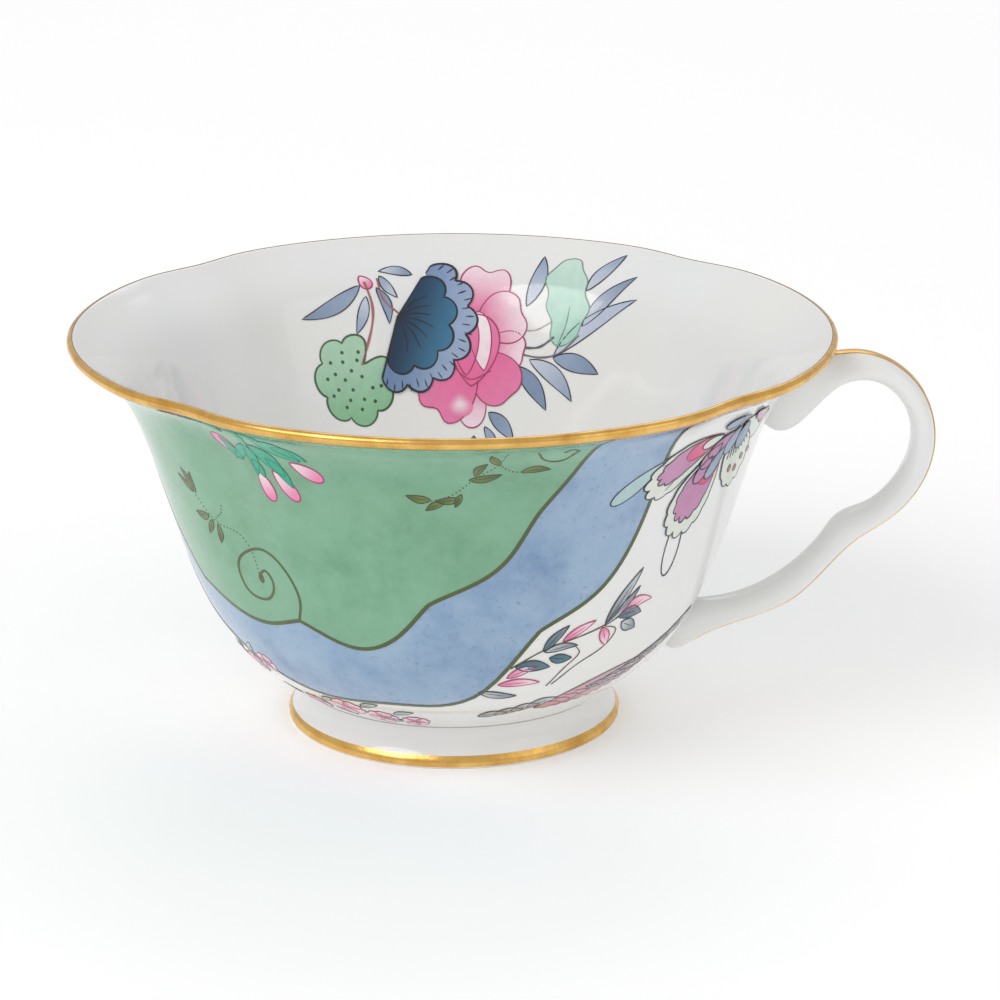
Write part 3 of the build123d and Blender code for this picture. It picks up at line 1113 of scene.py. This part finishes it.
class PaintButterfly(bpy.types.Operator):
    """Paint the butterfly on the white beside the grounds"""

    bl_idname = "teacup.butterfly"
    bl_label = "Butterfly"
    bl_options = {"REGISTER", "UNDO"}

    def execute(self, context):
        colours = context.scene.teacup_colours
        outer = wall()[0]
        for side, azimuth in spots(-38, 165):
            clear_selection()
            butterfly = Transfer(f"butterfly_{side}", outer, azimuth, 46)
            self.paint(butterfly, colours).finish(finish_of(enamel))
        return {"FINISHED"}

    def paint(self, brush, c):
        ink = c.ink
        white, pale_mint = srgb(226, 230, 220), srgb(206, 222, 206)

        def reach(angle, radius):
            """A point this far out from the shoulder where the wings meet."""
            return turned([(radius, 0)], 3.6, 6.2, angle)[0]

        # tails, the lower one left white
        brush.level = 3
        lower_tail = turned(petal(11.0, 3.4), -2.6, -6.4, 268)
        brush.line(lower_tail, ink, 0.2, closed=True)
        upper_tail = turned(petal(9.6, 2.7), -10.4, 3.2, 216)
        brush.area(upper_tail, srgb(176, 204, 206))
        brush.line(upper_tail, ink, 0.2, closed=True)
        # wings, each a pale shell under a mauve one, with a pink drop at its heart
        brush.level = 4
        for angle, start, size, width, lobes in (
            (340, 1.0, 8.6, 6.4, 4),
            (298, 1.0, 12.4, 8.0, 6),
            (206, 3.0, 15.2, 7.8, 6),
            (246, 4.6, 14.2, 9.6, 7),
        ):
            shell = turned(frilled(size, width, lobes, 0.13), *reach(angle, start), angle)
            spread = (reach(angle, start), reach(angle, start + size))
            middle = reach(angle, start + size * 0.5)
            brush.bloom(shell, pale_mint, white, ink, spread, 0.22, middle)
            brush.level += 2
        brush.level = 11
        for angle, start, size, width, lobes in ((204, 3.4, 12.4, 5.2, 6), (245, 5.0, 11.4, 6.8, 7)):
            shell = turned(frilled(size, width, lobes, 0.15), *reach(angle, start), angle)
            spread = (reach(angle, start), reach(angle, start + size))
            middle = reach(angle, start + size * 0.5)
            brush.bloom(shell, tinted(c.mauve, 0.86), c.mauve, ink, spread, 0.24, middle)
        for angle, start, size, width in ((203, 3.2, 6.6, 3.0), (247, 4.4, 5.8, 3.6)):
            x, y = reach(angle, start)
            brush.level = 13
            brush.petal(x, y, angle, size, width, c.pink, srgb(214, 70, 122), c.rose, 0.24)
            brush.level = 15
            eye = turned(petal(size * 0.55, width * 0.62), x, y, angle)
            brush.bloom(eye, pale_mint, c.blush, ink, ((x, y), reach(angle, start + size)), 0.2)
        # scales of the body, stepping from the shoulder
        brush.level = 17
        for x, y, angle, size, width, tone in (
            (1.2, 3.4, 236, 4.6, 2.4, c.mauve),
            (0.2, 1.4, 244, 4.6, 2.2, c.mauve),
            (2.2, 2.6, 250, 5.4, 2.2, c.slate),
            (2.8, 5.0, 228, 5.0, 2.4, c.mauve),
            (3.8, 5.8, 262, 5.0, 2.2, c.slate),
            (5.2, 6.2, 282, 5.2, 2.6, c.slate),
            (4.4, 7.8, 198, 4.4, 2.0, c.slate),
            (6.4, 7.6, 330, 4.8, 2.0, c.mauve),
        ):
            brush.petal(x, y, angle, size, width, tinted(tone, 0.8), tone, ink)
        # red seeds on the dotted wing, and short hairs between them
        seed_red = srgb(206, 96, 92)
        brush.level = 9
        for angle, out in ((288, 8.4), (298, 9.6), (308, 8.8), (318, 9.6), (345, 6.8), (355, 7.4)):
            brush.petal(*reach(angle, out), angle, 1.3, 0.85, seed_red, seed_red, ink, 0.14)
        for angle in range(278, 330, 6):
            hair = np.array([reach(angle, out) for out in (4.6, 5.6, 6.8)])
            brush.line(hair, ink, 0.2, taper=0.6)
        for angle in range(190, 218, 5):
            hair = np.array([reach(angle, out) for out in (12.4, 13.4, 14.6)])
            brush.line(hair, ink, 0.16, taper=0.6)
        return brush


class PaintLowSpray(bpy.types.Operator):
    """Paint the leafy spray, the wing and the blossoms low on the white"""

    bl_idname = "teacup.low_spray"
    bl_label = "Low spray, wing and blossoms"
    bl_options = {"REGISTER", "UNDO"}

    def execute(self, context):
        colours = context.scene.teacup_colours
        outer = wall()[0]
        for side, azimuth in spots(-62):
            clear_selection()
            spray = Transfer(f"leafy_spray_{side}", outer, azimuth, 22.5)
            self.spray(spray, colours).finish(finish_of(enamel))
        for side, azimuth in spots(-55):
            clear_selection()
            wing = Transfer(f"low_wing_{side}", outer, azimuth, 12.6)
            self.wing(wing, colours).finish(finish_of(enamel))
        for side, azimuth in spots(-120):
            clear_selection()
            blossoms = Transfer(f"low_blossoms_{side}", outer, azimuth, 9.0)
            self.blossoms(blossoms, colours).finish(finish_of(enamel))
        clear_selection()
        blossoms = Transfer("low_blossoms_left", outer, -158, 13.0, 30, 0.9)
        self.blossoms(blossoms, colours).finish(finish_of(enamel))
        return {"FINISHED"}

    def spray(self, paint, c):
        paint.level = 3
        brown = srgb(92, 74, 48)
        paint.line(bowed([(-9.9, -3.9), (-5.4, -1.0), (-1, 0.4), (3.6, 1.8), (6.0, 2.8)]), brown, 0.22)
        paint.line(bowed([(3.6, 1.6), (5.8, 0.6), (5.4, -1.2), (1.0, -4.6), (-2.6, -8.4)]), brown, 0.14)
        paint.line(bowed([(-0.4, -1.2), (0.4, -2.2), (-0.8, -4.4), (-3.4, -8.6)]), brown, 0.14)
        paint.level = 4
        pink, deep, slate, pale = c.pink, srgb(34, 104, 118), srgb(124, 132, 146), srgb(196, 204, 206)
        for x, y, angle, size, width, inner, outer, bend in (
            (-9.2, -3.6, -8, 5.4, 2.1, deep, c.teal, 0.04),
            (-10.2, -5.8, 24, 4.9, 1.5, pink, c.blush, 0.05),
            (-11.4, -7.2, -2, 6.6, 1.5, pink, c.blush, 0.05),
            (-14.2, -8.6, -14, 6.4, 1.5, pale, slate, -0.05),
            (-5.4, -1.1, 52, 5.2, 1.4, c.teal, slate, 0.05),
            (-5.2, -1.3, 4, 5.0, 1.3, pale, slate, 0.08),
            (-4.2, -2.6, -9, 3.6, 1.7, deep, c.teal, -0.05),
            (-2.7, 0.3, 31, 5.3, 1.3, pink, c.blush, 0.03),
            (3.6, 2.0, 61, 9.4, 1.6, slate, pale, 0.02),
            (3.6, 1.8, 48, 7.2, 1.3, pale, slate, -0.03),
            (3.3, 1.4, -68, 3.8, 1.6, pink, c.blush, 0.02),
            (5.9, 3.2, 10, 5.8, 1.8, pink, c.blush, 0.14),
            (5.6, 2.8, -6, 4.5, 2.0, deep, slate, 0.1),
            (6.6, 1.5, -30, 3.6, 2.0, pale, slate, 0.0),
        ):
            ink = c.rose if inner == pink else c.ink
            paint.leaf(x, y, angle, size, width, inner, outer, ink, bend, 0.18)
        return paint

    def wing(self, paint, c):
        paint.level = 3
        pink, slate, pale = srgb(206, 150, 166), srgb(140, 142, 152), srgb(206, 204, 204)
        quills = [(-15.2, -4.9), (-12.8, -4.4), (-10.4, -3.6), (-8.0, -2.7)]
        for k, (x, y) in enumerate(quills):
            paint.leaf(x, y, 12 + 4 * k, 4.6, 2.1, slate, pale, c.ink, 0.08, 0.18)
        t = np.linspace(0, 1, 60)
        teeth = 2.3 + 1.7 * np.abs(((t * 11) % 1) - 0.5)
        back = np.c_[t * 19, 2.1 * np.sin(np.pi * t)]
        toothed = np.c_[t * 19, -teeth * np.sin(np.pi * t) ** 0.6]
        shape = turned(np.r_[back, toothed[::-1]], -6.6, -3.4, 24)
        paint.bloom(shape, pink, srgb(190, 168, 178), srgb(120, 96, 60), ((-7, -4), (8, 4)), 0.22)
        paint.level = 5
        for k in range(10):
            barb = [(1.6 + 1.6 * k, 1.0), (3.2 + 1.6 * k, 0.1), (4.2 + 1.6 * k, -1.4)]
            paint.line(bowed(turned(barb, -6.6, -3.4, 24), 8), tinted(c.rose, 0.8), 0.16, taper=0.7)
        paint.level = 4
        for k in range(6):
            paint.leaf(0.6 + 2.4 * k, 0.4 + 1.1 * k, 14 + 3 * k, 7.0, 1.9, slate, pale, c.ink, -0.05, 0.16)
        return paint

    def blossoms(self, paint, c):
        paint.level = 3
        for x, y, size in ((-8.2, -1.4, 2.4), (-1.6, 0.2, 2.9), (3.4, -1.8, 2.6), (8.4, -2.4, 2.2)):
            for k in range(5):
                angle = 72 * k + 20 * x
                paint.petal(x, y, angle, size, size * 0.95, c.pink, c.blush, c.rose, 0.16, 0.12)
            stamens = [(x, y), (x + 0.4, y + 0.2), (x - 0.3, y + 0.3), (x, y - 0.4)]
            paint.dots(stamens, srgb(196, 160, 70), 0.22)
        for x, y, angle in (
            (-5.6, 0.4, 40),
            (-4.6, -1.6, -30),
            (1.2, 1.6, 30),
            (5.6, 0.2, 25),
            (6.4, -2.8, 160),
            (-11, -0.4, 150),
        ):
            paint.leaf(x, y, angle, 3.4, 1.3, c.slate, c.mint, c.ink, 0.06, 0.16)
        return paint


class PaintInside(bpy.types.Operator):
    """Paint the spray of blue bloom, pink peony and leaves inside the back wall"""

    bl_idname = "teacup.inside"
    bl_label = "Spray inside"
    bl_options = {"REGISTER", "UNDO"}

    def execute(self, context):
        colours = context.scene.teacup_colours
        inner = wall()[1]
        for name, paint in (
            ("inner_leaves", self.leaves),
            ("inner_lobed_leaf", self.lobed_leaf),
            ("inner_mint_leaf", self.mint_leaf),
            ("inner_peony", self.peony),
            ("inner_blue_bloom", self.blue_bloom),
        ):
            clear_selection()
            spot = Transfer(name, inner, 85.5, 44.6, bow=0.0026)
            paint(spot, colours)
            spot.finish(finish_of(enamel))
        return {"FINISHED"}

    def leaves(self, paint, c):
        paint.level = 2
        brown = srgb(170, 100, 100)
        paint.line(bowed([(-15.9, 8.4), (-15.2, 4.4), (-16.2, -0.4), (-17.9, -4.6)]), brown, 0.36)
        paint.line(bowed([(-14.0, 9.0), (-13.4, 5.4), (-11.4, 3.4)]), brown, 0.26)
        paint.line(bowed([(6.4, -2.4), (10.2, -3.0), (13.6, -2.2), (16.4, 0.6)]), srgb(120, 110, 116), 0.3)
        paint.line(bowed([(7.2, 1.0), (9.4, 1.2), (11.8, 2.6)]), srgb(176, 160, 150), 0.18)
        paint.line(bowed([(7.2, -1.6), (10.2, -1.4), (12.4, 0.2)]), srgb(100, 96, 104), 0.36)
        dark, pale, deep = c.slate, srgb(204, 210, 224), srgb(130, 150, 178)
        soft_ink = tinted(c.ink, 1.6)
        for x, y, angle, size, width, bend, first, last in (
            (-16.6, 7.8, 208, 11.2, 2.3, 0.08, dark, deep),
            (-16.0, 6.0, 250, 6.2, 1.6, 0.04, pale, dark),
            (-14.3, 7.4, 284, 5.8, 1.5, 0.1, deep, dark),
            (-13.6, 9.4, 302, 4.2, 1.4, -0.06, dark, pale),
            (-9.0, 9.6, 172, 4.6, 1.6, -0.1, deep, pale),
            (7.6, 4.8, 82, 8.8, 2.2, -0.07, pale, dark),
            (16.2, 7.6, 64, 8.0, 2.0, 0.02, pale, dark),
            (16.6, 2.0, 54, 10.8, 2.2, 0.02, pale, deep),
            (12.6, -2.8, 38, 15.4, 2.6, 0.05, pale, srgb(186, 198, 220)),
            (12.6, -3.0, 345, 8.4, 2.7, 0.04, dark, deep),
            (8.8, -3.4, 322, 10.0, 2.5, 0.08, pale, dark),
            (6.6, -4.4, 311, 8.8, 2.5, 0.05, deep, deep),
            (2.6, -11.6, 317, 6.2, 2.2, 0.05, deep, dark),
            (2.0, -13.8, 294, 5.0, 1.5, 0.08, dark, dark),
            (0.2, -15.2, 268, 5.0, 1.7, 0.0, deep, dark),
        ):
            paint.leaf(x, y, angle, size, width, first, last, soft_ink, bend, 0.17, vein=False)
        bud = turned(petal(2.4, 1.9), -16.4, 9.4, -60)
        paint.bloom(bud, c.blush, c.pink, c.rose, ((-16.4, 9.4), (-15.2, 7.4)), 0.2)

    def lobed_leaf(self, paint, c):
        paint.level = 2
        a = np.linspace(0, 2 * np.pi, 150, endpoint=False)
        scallop = 0.8 + 0.2 * np.abs(np.sin(3.5 * a)) ** 0.6
        cleft = 1 - 0.45 * np.exp(-(((a - math.radians(50)) / 0.2) ** 2))
        reach = 6.7 * scallop * cleft
        shape = np.c_[-19.5 + reach * np.cos(a), -6.9 + 1.06 * reach * np.sin(a)]
        green, edge = srgb(172, 212, 182), srgb(132, 190, 144)
        paint.bloom(shape, green, edge, srgb(58, 88, 44), ((-19.5, -2), (-18.5, -14)), 0.3, (-19.5, -6.9))
        paint.level = 4
        for ring, count, start in ((1.5, 4, 0.4), (3.2, 7, 1.3), (4.5, 9, 1.3)):
            for k in range(count):
                angle = start + 5.4 * k / count
                x, y = -19.5 + ring * math.cos(angle), -6.9 + ring * math.sin(angle)
                paint.area(turned(disc(0.3, 8), x, y, 0), srgb(52, 78, 44), rows=1)

    def mint_leaf(self, paint, c):
        paint.level = 3
        t = np.linspace(0, 1, 70)
        half = 3.1 * np.sin(np.pi * t) ** 0.45 * (1 + 0.1 * np.sin(6.2 * np.pi * t))
        rib = 13.4 + 0.7 * np.sin(1.8 * np.pi * t)
        up = -1.2 + 14.6 * t
        shape = np.r_[np.c_[rib + half, up], np.c_[rib - half, up][::-1][1:-1]]
        root, tip, line = srgb(164, 212, 192), srgb(206, 230, 218), srgb(120, 150, 130)
        paint.bloom(shape, root, tip, line, ((12.6, -2), (13.4, 14)), 0.18)
        paint.level = 5
        paint.line(bowed([(13.0, -1.4), (14.0, 2.2), (14.2, 5.0)]), srgb(110, 140, 124), 0.18, taper=0.6)

    def peony(self, paint, c):
        ink = c.rose
        hot = srgb(238, 108, 162)
        paint.level = 3
        for x, y, angle, size, width, notch, first, last in (
            (0.0, -6.4, -92, 7.6, 4.8, 0.0, c.pink, c.blush),
            (0.4, 2.2, 81, 9.6, 7.6, 0.17, hot, c.blush),
            (1.4, -1.4, -10, 6.8, 6.4, 0.06, hot, c.blush),
            (0.2, 1.2, 22, 8.0, 8.6, 0.1, hot, c.blush),
            (0.2, -2.6, -48, 9.2, 8.4, 0.05, hot, c.pink),
            (-0.2, -2.6, -124, 12.2, 9.4, 0.15, hot, c.pink),
            (-2.0, 1.8, 205, 5.0, 6.0, 0.0, hot, c.pink),
        ):
            paint.petal(x, y, angle, size, width, first, last, ink, 0.2, notch, 48)
            paint.level += 1
        pale = turned(petal(3.8, 4.4), -2.4, -8.6, -84)
        paint.area(pale, c.blush, c.pink, rows=5)
        paint.level += 1
        cup = turned(petal(11.0, 8.0), -0.4, -7.6, 86)
        paint.bloom(cup, hot, c.pink, ink, ((-0.4, -7.6), (0.4, 3.4)), 0.2)
        paint.level += 1
        heart = turned(petal(9.0, 3.6), 1.6, -5.2, 98)
        paint.bloom(heart, c.blush, srgb(255, 240, 244), ink, ((2, -5), (1, 3)), 0.18)
        fold = turned(petal(9.6, 4.4), -1.2, -6.0, 92)
        paint.level += 1
        paint.bloom(fold, hot, c.pink, ink, ((-1.2, -6), (-1.4, 3)), 0.18)
        paint.line(bowed([(-3.4, -4.6), (-0.6, -6.6), (2.8, -5.2)]), ink, 0.18, taper=0.5)

    def blue_bloom(self, paint, c):
        hub = np.array((-11.6, 2.8))
        paint.level = 17
        shell = turned(fan(12.0, 166, 7, 0.13, 150, 0.06), *hub, -26)
        root, edge = srgb(110, 136, 176), srgb(160, 178, 208)
        paint.bloom(shell, root, edge, c.ink, (hub, hub + (11, -3)), 0.32, hub + (4.5, -1.5))
        paint.level = 19
        for k, angle in enumerate(range(-104, 54, 7)):
            a = math.radians(angle)
            start = 9.7 + 0.5 * (k % 2)
            ray = np.array((math.cos(a), math.sin(a)))
            tick = np.array([hub + ray * start, hub + ray * (start + 0.7), hub + ray * (start + 1.3)])
            paint.line(tick, c.ink, 0.2, taper=0.6)
        shape = turned(fan(9.0, 164, 5, 0.15, 130, 0.06), *hub, -25)
        root, edge = srgb(8, 44, 76), srgb(60, 124, 160)
        paint.bloom(shape, root, edge, c.ink, (hub, hub + (9.4, -3.4)), 0.3, hub + (3.4, -1.2))
        paint.level = 21
        for angle, size in ((36, 5.6), (20, 5.2), (4, 5.0), (-16, 5.6), (-36, 5.4), (-56, 5.8), (-78, 5.6)):
            a = math.radians(angle)
            end = hub + size * np.array((math.cos(a), math.sin(a)))
            bow = hub + 0.55 * size * np.array((math.cos(a + 0.14), math.sin(a + 0.14)))
            paint.line(bowed([hub, bow, end]), c.ink, 0.2, taper=0.7)


class SetStage(bpy.types.Operator):
    """Lay the pale floor, hang the soft lights and place the camera"""

    bl_idname = "teacup.stage"
    bl_label = "Floor, lights and camera"
    bl_options = {"REGISTER", "UNDO"}

    def execute(self, context):
        sizes = context.scene.teacup_sizes
        colours = context.scene.teacup_colours
        clear_selection()
        bpy.ops.mesh.primitive_grid_add(x_subdivisions=8, y_subdivisions=8, size=sizes.floor)
        floor = bpy.context.object
        floor.name = floor.data.name = "pale_floor"
        floor.data.materials.append(pale_floor(colours))

        for name, place, power in LIGHTS:
            self.soft_light(name, place, power)

        world = bpy.data.worlds.new("pale_room")
        world.use_nodes = True
        background = world.node_tree.nodes["Background"]
        background.inputs["Color"].default_value = (1, 1, 1, 1)
        background.inputs["Strength"].default_value = ROOM_LIGHT
        bpy.context.scene.world = world

        bpy.ops.object.camera_add(location=CAMERA_PLACE)
        camera = bpy.context.object
        camera.name = "camera"
        aim = Vector(CAMERA_AIM) - camera.location
        camera.rotation_euler = aim.to_track_quat("-Z", "Y").to_euler()
        camera.data.sensor_width = 36
        camera.data.lens = CAMERA_LENS
        camera.data.clip_start = 0.01
        bpy.context.scene.camera = camera
        bpy.context.scene.view_settings.view_transform = "Standard"
        return {"FINISHED"}

    def soft_light(self, name, place, power):
        bpy.ops.object.light_add(type="AREA", location=place)
        light = bpy.context.object
        light.name = name
        light.data.shape = "DISK"
        light.data.size = LIGHT_SIZE
        light.data.energy = power
        aim = Vector(LIGHT_AIM) - light.location
        light.rotation_euler = aim.to_track_quat("-Z", "Y").to_euler()


class TeacupPanel(bpy.types.Panel):
    """Steps of making the teacup, with its sizes and colours"""

    bl_idname = "VIEW3D_PT_teacup"
    bl_label = "Teacup"
    bl_space_type = "VIEW_3D"
    bl_region_type = "UI"
    bl_category = "Teacup"

    def draw(self, context):
        for step in STEPS:
            self.layout.operator(step.bl_idname)
        for group in (context.scene.teacup_sizes, context.scene.teacup_colours):
            box = self.layout.box()
            for name in group.__annotations__:
                box.prop(group, name)


STEPS = [
    ThrowBowl,
    TurnFoot,
    PullHandle,
    GildRim,
    LayGrounds,
    PaintGreenSprigs,
    PaintButterfly,
    PaintLowSpray,
    PaintInside,
    SetStage,
]


def register():
    for cls in (CupSizes, CupColours, *STEPS, TeacupPanel):
        bpy.utils.register_class(cls)
    bpy.types.Scene.teacup_sizes = bpy.props.PointerProperty(type=CupSizes)
    bpy.types.Scene.teacup_colours = bpy.props.PointerProperty(type=CupColours)


def unregister():
    del bpy.types.Scene.teacup_colours
    del bpy.types.Scene.teacup_sizes
    for cls in (TeacupPanel, *reversed(STEPS), CupColours, CupSizes):
        bpy.utils.unregister_class(cls)


def main():
    register()
    for step in STEPS:
        getattr(bpy.ops.teacup, step.bl_idname.split(".")[1])()


if __name__ == "__main__":
    main()
